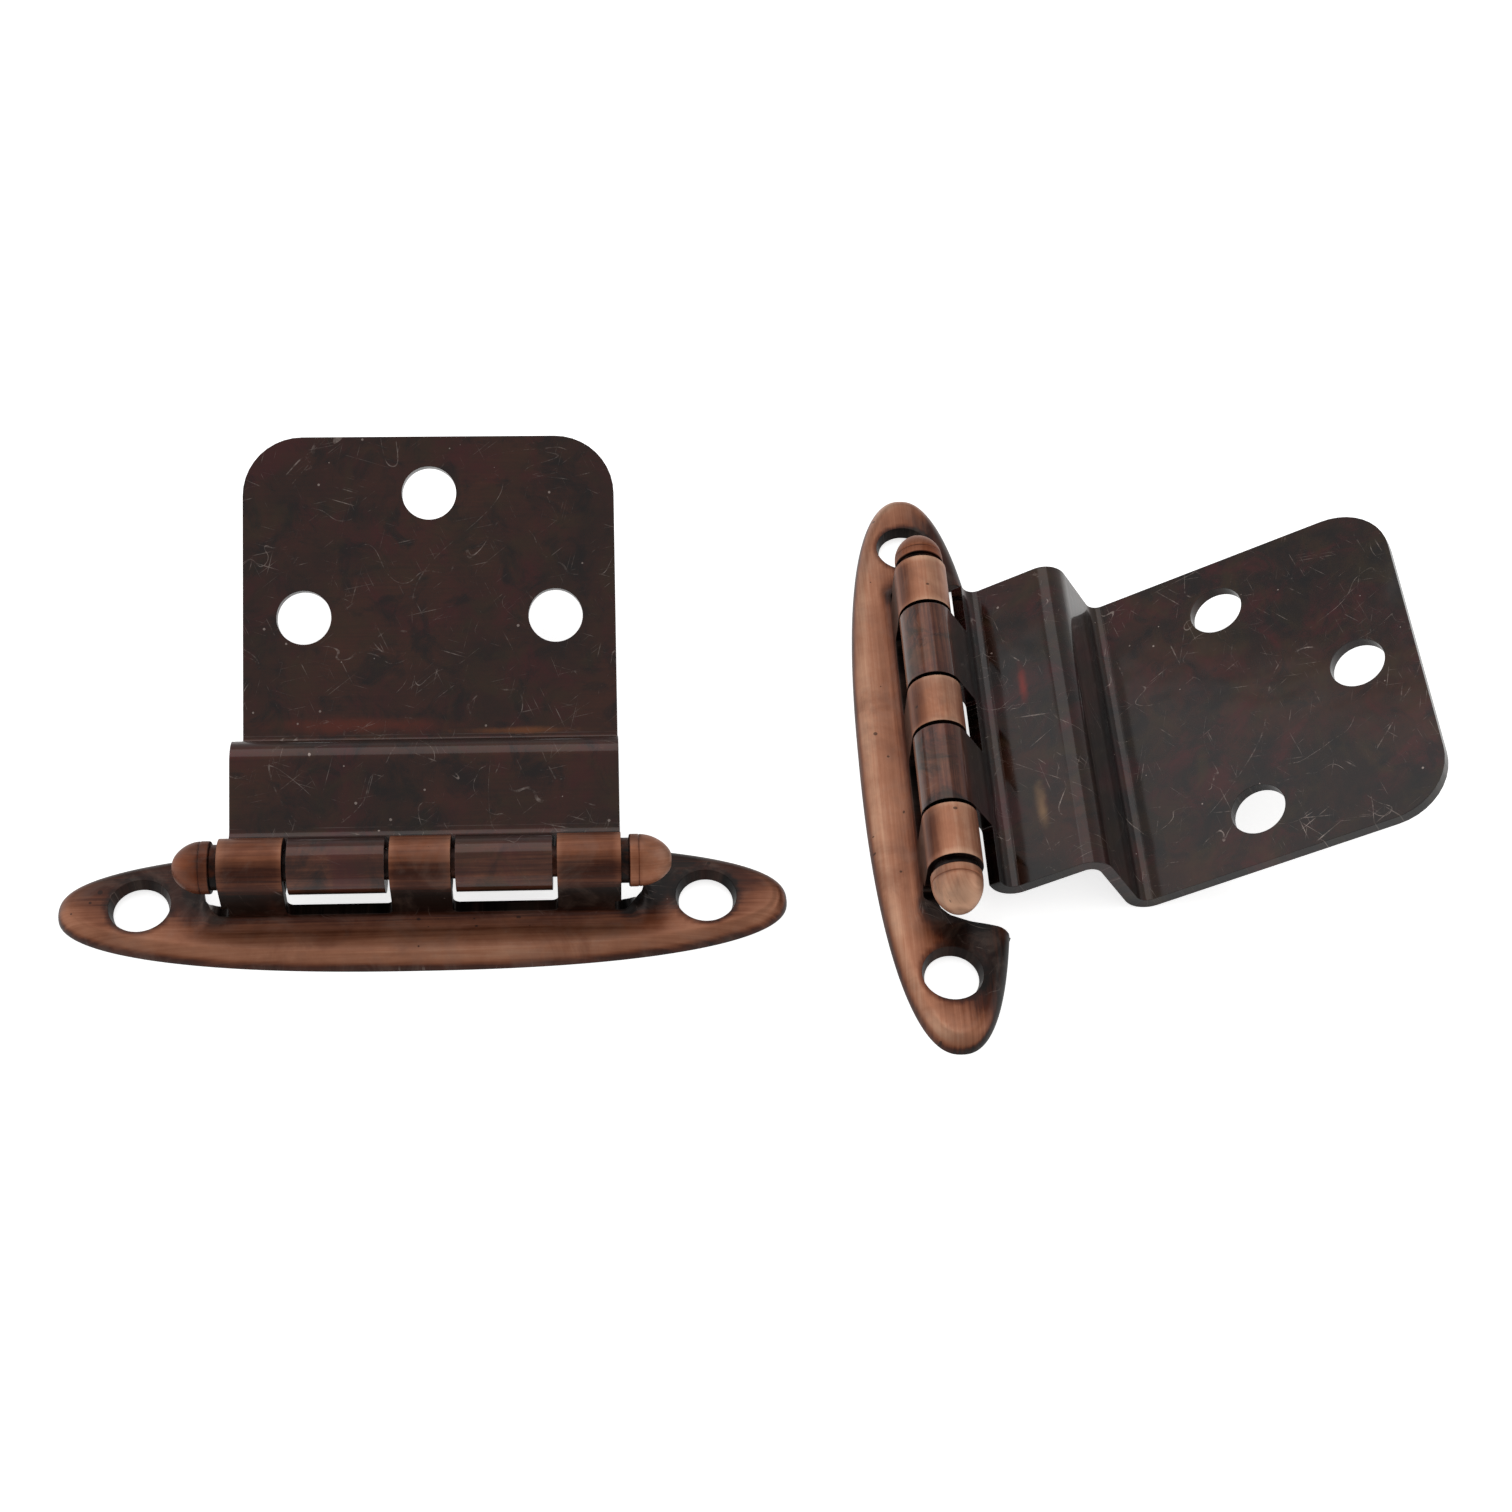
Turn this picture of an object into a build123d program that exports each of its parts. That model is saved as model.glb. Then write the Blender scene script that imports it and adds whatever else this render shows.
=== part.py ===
from build123d import *
import math
import os

# Pair of cabinet hinges for doors with a stepped edge, lying on a table, in millimetres and degrees.
# Each hinge is drawn closed, with the face frame's front at z = 0, the barrel along X and the door
# towards +Y. The frame leaf rests on the table and the door leaf is then swung open.

# Sheet and bends
sheet = 1.2
bend_radius = 1.2

# Barrel and knuckles
knuckle_radius = 2.7
axis_height = 7.2
end_knuckle = 6.0
middle_knuckle = 5.7
knuckle_gap = 0.45
knuckle_relief = 0.5
wall_undercut = 0.6
undercut_rise = 1.6
curl_seam = 0.15
knuckle_edge = 0.2

# Pin and its two finials
pin_clearance = 0.05
finial_radius = 2.5
finial_neck_radius = 2.15
finial_neck = 0.75
finial_collar = 0.95
head_dome = 2.7
tip_dome = 3.1
dome_flat_radius = 0.6
dome_shoulder = 0.62
dome_shoulder_radius = 0.77
dome_end_slope = 0.35
tip_socket_depth = 2.6
tip_clearance = 0.02
pin_point = 0.3

# Door leaf, which wraps the stepped edge of the door
leaf_width = 37.6
lip_reach = 12.7
door_step = 9.525
plate_length = 31.75
plate_corner = 6.0
top_hole_inset = 5.85
side_hole_drop = 12.7
side_hole_spacing = 25.4
door_hole_radius = 2.75

# Frame leaf, a long oval that lies on the face frame
oval_width = 14.2
oval_fullness = 2.33
oval_points = 10
oval_shift = -0.25
crown_height = 1.8
rim_round = 1.5
frame_hole_radius = 2.95
hole_shift = -0.5
hole_lead = 0.3
notch_foot_width = 1.9
notch_top_width = 3.5
notch_foot_y = -0.7
notch_foot_radius = 0.9
hole_margin = 1.75
tip_margin = 4.975

# Where the two barrels lie on the table
barrel_spread = 50.6
left_setback = 17.1
right_yaw = -90.0

# Derived sizes
half_width = leaf_width / 2
bore_radius = knuckle_radius - sheet
pin_radius = bore_radius - pin_clearance
long_knuckle = (leaf_width - 2 * end_knuckle - middle_knuckle - 4 * knuckle_gap) / 2
notch_foot_x = half_width + notch_foot_width
notch_corner_x = half_width + notch_top_width
screw_spacing = 2 * (notch_corner_x + hole_margin + frame_hole_radius)
oval_length = screw_spacing + 2 * (frame_hole_radius + tip_margin)
plate_top = sheet - door_step
plate_bottom = plate_top - sheet
far_edge = lip_reach + plate_length
outer_bend = bend_radius + sheet
slot_level = outer_bend

# Edges of the knuckles along the barrel, from -X to +X
first_long = -half_width + end_knuckle + knuckle_gap
middle_start = -middle_knuckle / 2
frame_spans = [
    (-half_width, -half_width + end_knuckle),
    (middle_start, -middle_start),
    (half_width - end_knuckle, half_width),
]
door_spans = [
    (first_long, first_long + long_knuckle),
    (-first_long - long_knuckle, -first_long),
]


def rest_angle():
    # The opening at which the back of the valley bend touches the table.
    along = lip_reach + bend_radius
    below = axis_height - (plate_top + bend_radius)
    turned = math.acos((axis_height - outer_bend) / math.hypot(along, below))
    return math.degrees(turned - math.atan2(along, below))


def door_reach(opening):
    # How far the opened door leaf reaches from the barrel along the table.
    turn = math.radians(opening)
    top = far_edge * math.cos(turn) + (axis_height - plate_top) * math.sin(turn)
    bottom = far_edge * math.cos(turn) + (axis_height - plate_bottom) * math.sin(turn)
    return max(top, bottom)


def across(face, start, end):
    # A flat Y-Z section drawn out along the barrel.
    return extrude(Plane.YZ.offset(start) * face, end - start)


def section(points, inner_corners, outer_corners):
    # Bent sheet: the corners inside each bend get the bend radius, those outside it the larger one.
    face = make_face(Polyline(*points, close=True))
    for corners, radius in ((inner_corners, bend_radius), (outer_corners, outer_bend)):
        for y, z in corners:
            face = fillet(face.vertices().sort_by_distance((y, z, 0))[0], radius)
    return face


def curl(side):
    # Rolled knuckle of a leaf whose wall hangs from the given side of the barrel.
    ring = Circle(knuckle_radius) - Circle(bore_radius)
    seam_y = bore_radius - curl_seam
    gap_width = 2 * knuckle_radius - seam_y
    gap = Pos(side * (seam_y + gap_width / 2), -knuckle_radius) * Rectangle(gap_width, 2 * knuckle_radius)
    return Pos(0, axis_height) * (ring - gap)


def knuckle(side, start, end):
    roll = across(curl(side), start, end)
    rims = roll.edges().filter_by(GeomType.CIRCLE).filter_by(lambda e: abs(e.radius - knuckle_radius) < 0.01)
    return fillet(rims, knuckle_edge)


def relief(start, end):
    # Space that the other leaf's knuckle turns in.
    room = knuckle_radius + knuckle_relief
    low = Box(end - start, 2 * room, 2 * room, align=(Align.MIN, Align.CENTER, Align.MIN))
    return Pos(start, 0, slot_level) * low


def undercut(side):
    # The wall stands back a little below the end knuckle of the frame leaf.
    room = knuckle_radius + knuckle_relief
    corner = Box(2 * wall_undercut, 2 * room, undercut_rise, align=(Align.CENTER, Align.CENTER, Align.MIN))
    return Pos(side * half_width, 0, slot_level) * corner


def door_section():
    wall = knuckle_radius
    points = [
        (wall, axis_height),
        (wall, sheet),
        (lip_reach, sheet),
        (lip_reach, plate_top),
        (far_edge, plate_top),
        (far_edge, plate_bottom),
        (lip_reach - sheet, plate_bottom),
        (lip_reach - sheet, 0),
        (bore_radius, 0),
        (bore_radius, axis_height),
    ]
    inner = [(wall, sheet), (lip_reach, plate_top), (lip_reach - sheet, 0)]
    outer = [(lip_reach, sheet), (lip_reach - sheet, plate_bottom), (bore_radius, 0)]
    return section(points, inner, outer)


def door_leaf():
    leaf = across(door_section(), -half_width, half_width)
    corners = leaf.edges().filter_by(Axis.Z).group_by(Axis.Y)[-1]
    leaf = fillet(corners, plate_corner)
    holes = [
        (0, far_edge - top_hole_inset),
        (-side_hole_spacing / 2, far_edge - top_hole_inset - side_hole_drop),
        (side_hole_spacing / 2, far_edge - top_hole_inset - side_hole_drop),
    ]
    for x, y in holes:
        leaf -= Pos(x, y, plate_bottom + sheet / 2) * Cylinder(door_hole_radius, 2 * sheet)
    for start, end in frame_spans:
        leaf -= relief(start - knuckle_gap, end + knuckle_gap)
    for start, end in door_spans:
        leaf += knuckle(1, start, end)
    return leaf


def oval(inset):
    # Superellipse, fuller than an ellipse; inset follows the sheet inwards.
    power = 2 / oval_fullness
    points = []
    for i in range(4 * oval_points):
        turn = i * math.pi / (2 * oval_points)
        x = math.copysign(abs(math.cos(turn)) ** power, math.cos(turn))
        y = math.copysign(abs(math.sin(turn)) ** power, math.sin(turn))
        points.append(((oval_length / 2 - inset) * x, (oval_width / 2 - inset) * y))
    return make_face(Spline(*points, periodic=True))


def pressed_oval():
    # Shallow dish, open below, whose rim is turned down to the table.
    outer = extrude(oval(0), crown_height)
    outer = fillet(outer.faces().sort_by(Axis.Z)[-1].edges(), rim_round)
    inner = extrude(oval(sheet), crown_height - sheet)
    inner = fillet(inner.faces().sort_by(Axis.Z)[-1].edges(), rim_round - sheet)
    return Pos(0, oval_shift, 0) * (outer - inner)


def frame_notch(side):
    # Cut between the wall and one end pad, with a round foot and a slanted outer edge.
    top = oval_width
    points = [
        (half_width, top),
        (half_width, notch_foot_y),
        (notch_foot_x, notch_foot_y),
        (notch_corner_x, oval_width / 2 + oval_shift),
        (notch_corner_x, top),
    ]
    cut = make_face(Polyline(*points, close=True))
    cut = fillet(cut.vertices().sort_by_distance((notch_foot_x, notch_foot_y, 0))[0], notch_foot_radius)
    cut = extrude(cut, 2 * crown_height)
    return cut if side > 0 else mirror(cut, Plane.YZ)


def frame_section():
    # Wall under the barrel and the bend at its foot, out to the middle of the oval's outer half.
    wall = -knuckle_radius
    join = (wall - bend_radius - oval_width / 2 + oval_shift + rim_round) / 2
    points = [
        (wall, axis_height),
        (wall, crown_height),
        (join, crown_height),
        (join, crown_height - sheet),
        (-bore_radius, crown_height - sheet),
        (-bore_radius, axis_height),
    ]
    return section(points, [(wall, crown_height)], [(-bore_radius, crown_height - sheet)])


def frame_leaf():
    leaf = pressed_oval()
    foot = -knuckle_radius - bend_radius
    middle = Box(leaf_width, oval_width, 4 * crown_height, align=(Align.CENTER, Align.MIN, Align.CENTER))
    leaf -= Pos(0, foot, 0) * middle
    for side in (-1, 1):
        leaf -= frame_notch(side)
        hole = Cylinder(frame_hole_radius, 4 * crown_height)
        lead = Pos(0, 0, crown_height - hole_lead / 2) * Cone(
            frame_hole_radius, frame_hole_radius + hole_lead, hole_lead
        )
        leaf -= Pos(side * screw_spacing / 2, hole_shift, 0) * (hole + lead)
    leaf += across(frame_section(), -half_width, half_width)
    for start, end in door_spans:
        leaf -= relief(start - knuckle_gap, end + knuckle_gap)
    for side in (-1, 1):
        leaf -= undercut(side)
    for start, end in frame_spans:
        leaf += knuckle(-1, start, end)
    return leaf


def finial_profile(base, dome):
    # Half outline of a finial from its seat on the barrel end out to the flattened point.
    neck_end = base + finial_neck
    collar_end = neck_end + finial_collar
    point = collar_end + dome
    outline = [
        Line((base, 0), (base, finial_neck_radius)),
        Line((base, finial_neck_radius), (neck_end, finial_neck_radius)),
        Line((neck_end, finial_neck_radius), (neck_end, finial_radius)),
        Line((neck_end, finial_radius), (collar_end, finial_radius)),
        Spline(
            (collar_end, finial_radius),
            (collar_end + dome_shoulder * dome, dome_shoulder_radius * finial_radius),
            (point, dome_flat_radius),
            tangents=[(1, 0), (dome_end_slope, -1)],
        ),
        Line((point, dome_flat_radius), (point, 0)),
        Line((point, 0), (base, 0)),
    ]
    return make_face(Curve() + outline)


def finial(base, dome):
    return revolve(finial_profile(base, dome), Axis.X)


def pin():
    # Round rod with its finial at -X; the other end stands out to carry the second finial.
    reach = half_width + tip_socket_depth
    rod = Plane.YZ.offset(-half_width) * Circle(pin_radius)
    rod = extrude(rod, half_width + reach)
    rod = chamfer(rod.edges().sort_by(Axis.X)[-1], pin_point)
    head = mirror(finial(half_width, head_dome), Plane.YZ)
    return Pos(0, 0, axis_height) * (rod + head)


def pin_tip():
    # Second finial, pressed over the end of the pin.
    socket = Plane.YZ.offset(half_width) * Circle(pin_radius + tip_clearance)
    tip = finial(half_width, tip_dome) - extrude(socket, tip_socket_depth + tip_clearance)
    return Pos(0, 0, axis_height) * tip


def opened(leaf, opening):
    hinge_line = Axis((0, 0, axis_height), (1, 0, 0))
    return leaf.rotate(hinge_line, opening)


opening = rest_angle()
reach = door_reach(opening)
left_x = (oval_length / 2 - barrel_spread - reach) / 2
places = {
    "left": Pos(left_x, -left_setback, 0),
    "right": Pos(left_x + barrel_spread, 0, 0) * Rot(0, 0, right_yaw),
}
pieces = {
    "frame_leaf": frame_leaf(),
    "door_leaf": opened(door_leaf(), opening),
    "pin": pin(),
    "pin_tip": pin_tip(),
}

os.makedirs("parts", exist_ok=True)
for side, place in places.items():
    for name, piece in pieces.items():
        export_step(place * piece, f"parts/{side}_{name}.step")
print("opening", round(opening, 3), "reach", round(reach, 3), "left_x", round(left_x, 4))
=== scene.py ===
import bpy
import bmesh
from math import acos, copysign, cos, degrees, hypot, pi, radians, sin
from mathutils import Matrix, Vector
from mathutils.geometry import interpolate_bezier


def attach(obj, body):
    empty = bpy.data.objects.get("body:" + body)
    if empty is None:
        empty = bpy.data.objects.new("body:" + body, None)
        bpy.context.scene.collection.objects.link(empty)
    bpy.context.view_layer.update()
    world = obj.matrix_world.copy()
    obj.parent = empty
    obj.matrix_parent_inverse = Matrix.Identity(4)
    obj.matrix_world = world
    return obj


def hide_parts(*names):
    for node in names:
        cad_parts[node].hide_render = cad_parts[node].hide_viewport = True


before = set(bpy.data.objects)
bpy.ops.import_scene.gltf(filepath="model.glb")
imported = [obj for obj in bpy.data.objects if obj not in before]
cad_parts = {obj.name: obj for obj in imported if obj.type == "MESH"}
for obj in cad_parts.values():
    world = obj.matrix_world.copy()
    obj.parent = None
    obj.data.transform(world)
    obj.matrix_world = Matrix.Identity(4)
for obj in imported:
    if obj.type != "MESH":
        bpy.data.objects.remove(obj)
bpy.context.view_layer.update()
mm = 0.001
print("frame loaded")

# Sizes are in millimetres and repeat the part's source. Each hinge is shaped closed, with its
# barrel along X, the door towards +Y and the face frame at z = 0, and is then laid in its place.
hingeSet = {
    "sheet": 1.2,
    "bendMiddle": 1.8,  # bend radius in the middle of the sheet
    "knuckleMiddle": 2.1,  # radius of a rolled knuckle, also in the middle of the sheet
    "axisHeight": 7.2,
    "halfWidth": 18.8,
    "curlTurn": 303,  # degrees that a knuckle is rolled
    "opening": 31.948,  # degrees from closed, with the valley on the table
    "framePlaces": [(-18.8, -12.8), (-2.85, 2.85), (12.8, 18.8)],  # the frame leaf's knuckles
    "knuckleGap": 0.45,
    # place in x and y, turn about Z, how far its pattern is moved, and how far its tone is moved, partly by
    # its own wear and partly as painted light and shade
    "left": {"place": (-31.1211, -17.1), "yaw": 0, "shift": 0.0, "wearAndLight": 0.0},
    "right": {"place": (19.4789, 0), "yaw": -90, "shift": 0.1, "wearAndLight": 0.16},
}


def placeOf(side):
    x, y = hingeSet[side]["place"]
    yaw = radians(hingeSet[side]["yaw"])
    return Matrix.Scale(mm, 4) @ Matrix.Translation((x, y, 0)) @ Matrix.Rotation(yaw, 4, "Z")


def openedLeaf():
    height = hingeSet["axisHeight"]
    turn = Matrix.Rotation(radians(hingeSet["opening"]), 4, "X")
    return Matrix.Translation((0, 0, height)) @ turn @ Matrix.Translation((0, 0, -height))


def linear(hexColour):
    # sRGB hex to the linear colour that a shader takes
    channels = [int(hexColour[i : i + 2], 16) / 255 for i in (1, 3, 5)]
    return [c / 12.92 if c <= 0.04045 else ((c + 0.055) / 1.055) ** 2.4 for c in channels] + [1.0]


def smoothStep(low, high, value):
    t = min(max((value - low) / (high - low), 0.0), 1.0)
    return t * t * (3 - 2 * t)


def between(value, stops):
    # straight lines from stop to stop: (place, height)
    for (low, first), (high, second) in zip(stops, stops[1:]):
        if value <= high:
            return first + (second - first) * min(max((value - low) / (high - low), 0.0), 1.0)
    return stops[-1][1]


def addNode(tree, kind, settings, inputs):
    # inputs are values or other nodes' outputs
    node = tree.nodes.new(kind)
    for name, value in settings.items():
        setattr(node, name, value)
    for name, value in inputs.items():
        if isinstance(value, bpy.types.NodeSocket):
            tree.links.new(value, node.inputs[name])
        else:
            node.inputs[name].default_value = value
    return node


# Antique copper: copper plate on steel, oxidised dark, brushed back to the copper and lacquered.
# It gives the eye dark hollows, red-brown slopes and worn crowns with fine brush lines.
copperStops = [
    (0.0, "#060403"),
    (0.2, "#1d100c"),
    (0.4, "#4b2415"),
    (0.6, "#834e35"),
    (0.8, "#b0775a"),
    (1.0, "#d8aa8c"),
]
frameLeafFinish = {
    "brush": (0.5, 0.75, 0.5, 0.28),  # two tones, and the strength of the brush lines at each
    "mottle": 0.16,
    "roughness": 0.44,
    "stretch": 0.7,
    "lacquer": 0.35,
    "lacquerRoughness": 0.28,
    "tints": [("#5a2a1a", 0.11, 0.35), ("#8a7468", 0.26, 0.18)],  # colour, patches per mm, strength
    "stains": [],
    "marks": 0.3,
    "pits": 0.7,
    "bendHighlights": [],
}
doorLeafFinish = {
    "brush": (0.3, 0.45, 0.06, 0.5),
    "mottle": 0.15,
    "roughness": 0.4,
    "stretch": 0.0,
    "lacquer": 0.9,
    "lacquerRoughness": 0.1,
    "tints": [("#4a1216", 0.15, 0.6), ("#08080a", 0.26, 0.75), ("#3a2c12", 0.2, 0.4)],
    # x, place along the blank and half sizes in mm, then colour and strength
    "stains": [
        (-7, 29.6, 11, 1.0, "#7a2c14", 0.55),
        (9, 30.3, 7, 0.45, "#9a5a2c", 0.6),
        (111, 45.0, 2.7, 0.75, "#8a6a48", 0.8),
        (95, 45.2, 2.6, 0.6, "#8a2418", 0.8),
    ],
    "marks": 0.68,
    "pits": 0.0,
    "bendHighlights": [(30.6, 0.2), (39.6, 0.35), (48.5, 0.2)],  # painted highlights: pale lines along the bends, as place and strength
}
finialFinish = {
    "brush": (0.0, 1.0, 0.25, 0.25),
    "mottle": 0.2,
    "roughness": 0.52,
    "stretch": 0.0,
    "lacquer": 0.25,
    "lacquerRoughness": 0.3,
    "tints": [("#8a3d10", 0.16, 0.3), ("#6a5a54", 0.24, 0.35)],
    "stains": [],
    "marks": 0.05,
    "pits": 0.4,
    "bendHighlights": [],
}
# what the three finishes share; patterns are given as how many go into a millimetre
patternSet = {
    "brushLines": (0.08, 3.2),  # about 12 mm long and 0.3 mm wide
    "oxidePatches": 0.17,  # 6 mm across
    "scratches": (0.15, 5.2),  # up to 7 mm long and 0.2 mm wide, with the bright part half of that
    "scratchTurns": [(17, 3.1), (-38, 7.7), (64, 1.9), (-75, 5.3), (-12, 9.2)],  # degrees, place
    "hairs": [(0.04, 0.0011), (0.085, 0.0018)],  # and half the line's width, in the noise
    "scratchGroups": 0.26,  # 4 mm across
    "specks": 0.9,  # one in 1.1 mm, of which most are left out
    "lacquerWaves": 0.12,  # 8 mm long
    "scratchColour": "#b3a299",
    "pitColour": "#1a0e0a",
    # colour of the painted highlights along the bends
    "bendHighlightColour": "#9a8a84",
    "bendHighlightHalf": 0.05,  # half width of a painted bend highlight in mm
    "roughnessSpan": 0.08,
    "edgeRadius": 0.12,  # edges catch the light as if rounded by this, in mm
    "grainDepth": 0.03,
    "waveDepth": 0.12,
}


def wearAndLightLevel(tree, flat, tone, finish):
    # how bare the copper is: the tone, which holds the wear and some painted light and shade, broken up by
    # brush lines and patches of oxide
    along, across = patternSet["brushLines"]
    lines = addNode(
        tree, "ShaderNodeMapping", {}, {"Vector": flat, "Scale": (along / mm, across / mm, 1)}
    )
    brush = addNode(
        tree, "ShaderNodeTexNoise", {},
        {"Vector": lines.outputs[0], "Scale": 1, "Detail": 4, "Roughness": 0.6},
    ).outputs[0]
    darkTone, wornTone, dark, worn = finish["brush"]
    strength = addNode(
        tree, "ShaderNodeMapRange", {},
        {"Value": tone, "From Min": darkTone, "From Max": wornTone, "To Min": dark, "To Max": worn},
    )
    middle = addNode(tree, "ShaderNodeMath", {"operation": "SUBTRACT"}, {0: brush, 1: 0.5})
    brushed = addNode(
        tree, "ShaderNodeMath", {"operation": "MULTIPLY_ADD"},
        {0: middle.outputs[0], 1: strength.outputs[0], 2: tone},
    )
    cloud = addNode(
        tree, "ShaderNodeTexNoise", {},
        {"Vector": flat, "Scale": patternSet["oxidePatches"] / mm, "Detail": 6, "Roughness": 0.65},
    ).outputs[0]
    clouded = addNode(
        tree, "ShaderNodeMapRange", {},
        {"Value": cloud, "To Min": -finish["mottle"], "To Max": finish["mottle"]},
    )
    level = addNode(
        tree, "ShaderNodeMath", {"operation": "ADD", "use_clamp": True},
        {0: brushed.outputs[0], 1: clouded.outputs[0]},
    )
    return brush, cloud, level.outputs[0]


def copperColour(tree, level):
    ramp = addNode(tree, "ShaderNodeValToRGB", {}, {"Fac": level})
    while len(ramp.color_ramp.elements) < len(copperStops):
        ramp.color_ramp.elements.new(0.5)
    for element, (place, hexColour) in zip(ramp.color_ramp.elements, copperStops):
        element.position = place
        element.color = linear(hexColour)
    return ramp.outputs["Color"]


def oxideTints(tree, flat, cloud, colour, finish):
    for index, (tint, perMm, amount) in enumerate(finish["tints"]):
        moved = addNode(
            tree, "ShaderNodeMapping", {}, {"Vector": flat, "Location": (0.3 * index, 0.7, index)}
        )
        patch = addNode(
            tree, "ShaderNodeTexNoise", {},
            {
                "Vector": moved.outputs[0],
                "Scale": perMm / mm,
                "Detail": 5,
                "Roughness": 0.65,
                "Distortion": 0.8,
            },
        )
        share = addNode(
            tree, "ShaderNodeMapRange", {"interpolation_type": "SMOOTHSTEP"},
            {"Value": patch.outputs[0], "From Min": 0.46, "From Max": 0.68, "To Max": amount},
        )
        colour = addNode(
            tree, "ShaderNodeMix", {"data_type": "RGBA"},
            {0: share.outputs[0], 6: colour, 7: linear(tint)},
        ).outputs[2]
    # single stains, with edges that the oxide patches break up
    for x, v, halfX, halfV, tint, amount in finish["stains"]:
        centred = addNode(
            tree, "ShaderNodeMapping", {},
            {
                "Vector": flat,
                "Location": (-x / halfX, -v / halfV, 0),
                "Scale": (1 / (halfX * mm), 1 / (halfV * mm), 1),
            },
        )
        reach = addNode(tree, "ShaderNodeVectorMath", {"operation": "LENGTH"}, {0: centred.outputs[0]})
        broken = addNode(
            tree, "ShaderNodeMath", {"operation": "MULTIPLY_ADD"},
            {0: cloud, 1: 2.4, 2: reach.outputs["Value"]},
        )
        share = addNode(
            tree, "ShaderNodeMapRange", {"interpolation_type": "SMOOTHSTEP"},
            {"Value": broken.outputs[0], "From Min": 1.2, "From Max": 2.4, "To Min": amount, "To Max": 0},
        )
        colour = addNode(
            tree, "ShaderNodeMix", {"data_type": "RGBA"},
            {0: share.outputs[0], 6: colour, 7: linear(tint)},
        ).outputs[2]
    return colour


def scratches(tree, flat):
    marks = 0.0
    along, across = patternSet["scratches"]
    for turn, place in patternSet["scratchTurns"]:
        aligned = addNode(
            tree, "ShaderNodeMapping", {"vector_type": "TEXTURE"},
            {
                "Vector": flat,
                "Location": (place, place, 0),
                "Rotation": (0, 0, radians(turn)),
                "Scale": (mm / along, mm / across, 1),
            },
        )
        ridge = addNode(
            tree, "ShaderNodeTexNoise", {}, {"Vector": aligned.outputs[0], "Scale": 1, "Detail": 1}
        )
        line = addNode(
            tree, "ShaderNodeMapRange", {}, {"Value": ridge.outputs[0], "From Min": 0.69, "From Max": 0.77}
        )
        marks = addNode(
            tree, "ShaderNodeMath", {"operation": "MAXIMUM"}, {0: marks, 1: line.outputs[0]}
        ).outputs[0]
    # curved hair lines, where a smooth noise crosses its middle; drawn as coarse as they need to show
    for index, (perMm, width) in enumerate(patternSet["hairs"]):
        moved = addNode(
            tree, "ShaderNodeMapping", {}, {"Vector": flat, "Location": (index, 0.4 * index, 3)}
        )
        smooth = addNode(
            tree, "ShaderNodeTexNoise", {},
            {
                "Vector": moved.outputs[0],
                "Scale": perMm / mm,
                "Detail": 2,
                "Roughness": 0.5,
                "Distortion": 0.6,
            },
        )
        away = addNode(
            tree, "ShaderNodeMath", {"operation": "COMPARE"}, {0: smooth.outputs[0], 1: 0.5, 2: width}
        )
        marks = addNode(
            tree, "ShaderNodeMath", {"operation": "MAXIMUM"}, {0: marks, 1: away.outputs[0]}
        ).outputs[0]
    # they come in groups and fade in and out
    gather = addNode(
        tree, "ShaderNodeTexNoise", {},
        {"Vector": flat, "Scale": patternSet["scratchGroups"] / mm, "Detail": 5, "Roughness": 0.75},
    )
    faded = addNode(
        tree, "ShaderNodeMapRange", {"interpolation_type": "SMOOTHSTEP"},
        {"Value": gather.outputs[0], "From Min": 0.47, "From Max": 0.7},
    )
    return addNode(
        tree, "ShaderNodeMath", {"operation": "MULTIPLY"}, {0: marks, 1: faded.outputs[0]}
    ).outputs[0]


def markedColour(tree, flat, tone, colour, finish):
    # pale specks 0.15 mm across, in a few of the cells only
    cells = addNode(
        tree, "ShaderNodeTexVoronoi", {}, {"Vector": flat, "Scale": patternSet["specks"] / mm}
    )
    picked = addNode(tree, "ShaderNodeSeparateColor", {}, {"Color": cells.outputs["Color"]})
    size = addNode(
        tree, "ShaderNodeMapRange", {},
        {"Value": picked.outputs[0], "From Min": 0.84, "From Max": 1, "To Min": 0, "To Max": 0.13},
    )
    speck = addNode(
        tree, "ShaderNodeMath", {"operation": "LESS_THAN"},
        {0: cells.outputs["Distance"], 1: size.outputs[0]},
    )
    marks = addNode(
        tree, "ShaderNodeMath", {"operation": "MAXIMUM"}, {0: scratches(tree, flat), 1: speck.outputs[0]}
    )
    # the knuckles are rubbed, so they keep few marks
    kept = addNode(
        tree, "ShaderNodeMapRange", {},
        {
            "Value": tone,
            "From Min": 0.33,
            "From Max": 0.4,
            "To Min": finish["marks"],
            "To Max": finish["marks"] * 0.2,
        },
    )
    marks = addNode(
        tree, "ShaderNodeMath", {"operation": "MULTIPLY"}, {0: marks.outputs[0], 1: kept.outputs[0]}
    )
    colour = addNode(
        tree, "ShaderNodeMix", {"data_type": "RGBA"},
        {0: marks.outputs[0], 6: colour, 7: linear(patternSet["scratchColour"])},
    ).outputs[2]
    # dark pits in the brushed faces, in other cells
    depth = addNode(
        tree, "ShaderNodeMapRange", {},
        {"Value": picked.outputs[1], "From Min": 0.8, "From Max": 1, "To Min": 0, "To Max": 0.24},
    )
    pit = addNode(
        tree, "ShaderNodeMath", {"operation": "LESS_THAN"},
        {0: cells.outputs["Distance"], 1: depth.outputs[0]},
    )
    pitted = addNode(
        tree, "ShaderNodeMath", {"operation": "MULTIPLY"}, {0: pit.outputs[0], 1: finish["pits"]}
    )
    return addNode(
        tree, "ShaderNodeMix", {"data_type": "RGBA"},
        {0: pitted.outputs[0], 6: colour, 7: linear(patternSet["pitColour"])},
    ).outputs[2]


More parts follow.
